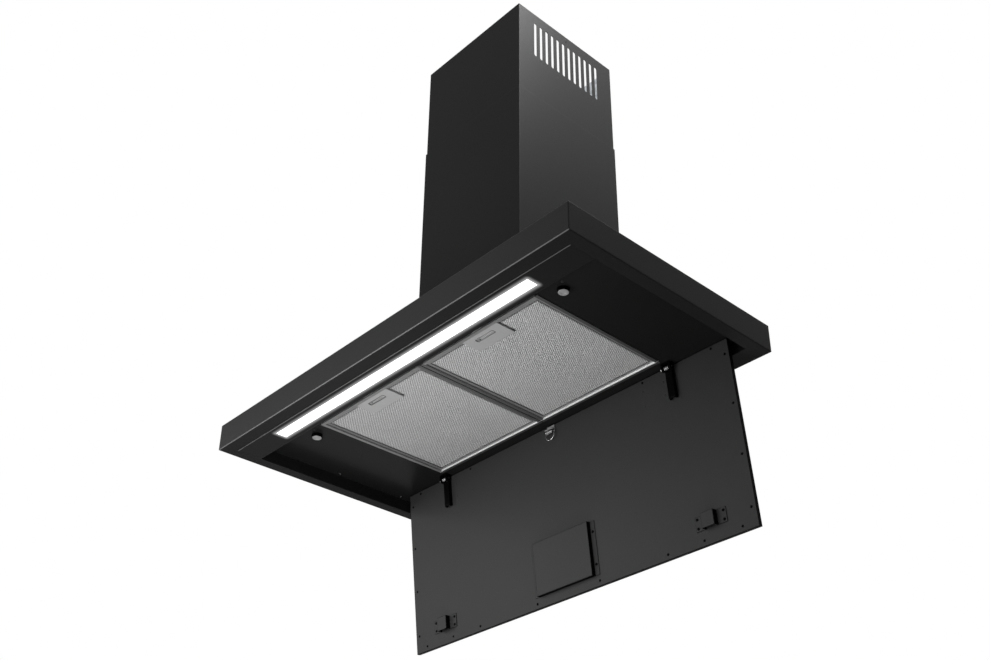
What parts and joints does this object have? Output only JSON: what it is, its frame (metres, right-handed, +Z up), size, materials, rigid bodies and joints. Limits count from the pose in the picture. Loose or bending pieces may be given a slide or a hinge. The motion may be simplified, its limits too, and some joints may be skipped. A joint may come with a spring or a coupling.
{
  "type": "chimney range hood",
  "caption": "Wall-mounted T-shaped range hood: flat canopy with drop-down suction panel, mesh filters, light strip and telescopic chimney.",
  "frame": {"origin": "on the wall plane, midway between the two lock-screw holes in the canopy's rear wall", "axes": "+X to the right seen from the front, +Y into the wall, +Z up"},
  "size_m": [0.898, 0.465, 1.1433],
  "materials": {
    "matt_black_steel": "fine-textured matt black powder coat",
    "satin_black_steel": "satin black powder coat",
    "galvanised_steel": "zinc-coated sheet steel",
    "aluminium_mesh": "expanded aluminium mesh, satin",
    "aluminium_trim": "satin anodised aluminium",
    "bright_steel": "bright nickel-plated steel",
    "light_diffuser": "opal acrylic, lit white",
    "black_plastic": "moulded black plastic",
    "circuit_green": "circuit board with solder mask",
    "motor_steel": "zinc-plated motor casing"
  },
  "bodies": {
    "hood_body": {"canopy_shell": "matt_black_steel", "recess_liner": "satin_black_steel", "liner_screws": "satin_black_steel", "light_plate": "matt_black_steel", "led_diffuser": "light_diffuser", "led_housing": "aluminium_trim", "led_board": "circuit_green", "magnet_holders": "black_plastic", "catch_magnets": "bright_steel", "hinge_brackets": "satin_black_steel", "hinge_pins": "bright_steel", "hinge_springs": "bright_steel", "blower_box": "galvanised_steel", "scroll_casing": "galvanised_steel", "inlet_rings": "black_plastic", "blower_motor": "motor_steel", "motor_bracket": "galvanised_steel", "outlet_collar": "black_plastic", "flap_pin": "bright_steel", "control_box": "black_plastic", "circuit_board": "circuit_green", "cable_gland": "black_plastic", "wall_brackets": "galvanised_steel", "adjusting_screws": "bright_steel", "lower_chimney": "matt_black_steel", "chimney_angles": "galvanised_steel", "chimney_screws": "bright_steel"},
    "suction_panel": {"panel_outer": "matt_black_steel", "panel_inner": "satin_black_steel", "panel_rivets": "satin_black_steel", "hinge_arms": "satin_black_steel", "strike_brackets": "satin_black_steel", "strike_screws": "satin_black_steel", "panel_box_cover": "satin_black_steel", "box_cover_screws": "satin_black_steel", "centre_tab": "satin_black_steel", "centre_bush": "bright_steel"},
    "bail_ring": {"centre_bail": "bright_steel"},
    "upper_cover": {"upper_chimney": "matt_black_steel", "upper_bracket": "galvanised_steel", "upper_screws": "satin_black_steel"},
    "filter_left": {"filter_frame_left": "aluminium_trim", "filter_mesh_left": "aluminium_mesh", "latch_plate_left": "aluminium_trim", "filter_tabs_left": "aluminium_trim", "latch_spring_left": "bright_steel"},
    "filter_right": {"filter_frame_right": "aluminium_trim", "filter_mesh_right": "aluminium_mesh", "latch_plate_right": "aluminium_trim", "filter_tabs_right": "aluminium_trim", "latch_spring_right": "bright_steel"},
    "latch_left": {"latch_slide_left": "aluminium_trim"},
    "latch_right": {"latch_slide_right": "aluminium_trim"},
    "fan_wheel": {"impeller": "black_plastic", "motor_shaft": "bright_steel"},
    "front_flap": {"flap_front": "black_plastic"},
    "rear_flap": {"flap_rear": "black_plastic"}
  },
  "joints": [
    {"name": "panel_hinge", "type": "hinge", "parent": "hood_body", "child": "suction_panel", "pos_m": [0, -0.0655, -0.0218], "axis": [1, 0, 0], "range_deg": [-96.4, 0], "stiffness_Nm_per_rad": 1.5, "springref_deg": 51.57},
    {"name": "bail_swing", "type": "hinge", "parent": "suction_panel", "child": "bail_ring", "pos_m": [0, -0.05992, -0.02847], "axis": [1, 0, 0], "range_deg": [-30, 15]},
    {"name": "chimney_slide", "type": "slide", "parent": "hood_body", "child": "upper_cover", "axis": [0, 0, 1], "range_m": [-0.205, 0.262]},
    {"name": "filter_left_swing", "type": "hinge", "parent": "hood_body", "child": "filter_left", "pos_m": [0, -0.0755, -0.012], "axis": [1, 0, 0], "range_deg": [0, 60]},
    {"name": "filter_right_swing", "type": "hinge", "parent": "hood_body", "child": "filter_right", "pos_m": [0, -0.0755, -0.012], "axis": [1, 0, 0], "range_deg": [0, 60]},
    {"name": "latch_left_slide", "type": "slide", "parent": "filter_left", "child": "latch_left", "axis": [0, 1, 0], "range_m": [0, 0.008], "stiffness_N_per_m": 400, "springref_m": -0.008, "deforming": ["latch_spring_left"]},
    {"name": "latch_right_slide", "type": "slide", "parent": "filter_right", "child": "latch_right", "axis": [0, 1, 0], "range_m": [0, 0.008], "stiffness_N_per_m": 400, "springref_m": -0.008, "deforming": ["latch_spring_right"]},
    {"name": "fan_spin", "type": "hinge", "parent": "hood_body", "child": "fan_wheel", "pos_m": [0, -0.1275, 0.125], "axis": [1, 0, 0], "continuous": true},
    {"name": "front_flap_hinge", "type": "hinge", "parent": "hood_body", "child": "front_flap", "pos_m": [0, -0.1275, 0.28], "axis": [-1, 0, 0], "range_deg": [0, 75]},
    {"name": "rear_flap_hinge", "type": "hinge", "parent": "hood_body", "child": "rear_flap", "pos_m": [0, -0.1275, 0.28], "axis": [1, 0, 0], "range_deg": [0, 75]}
  ]
}
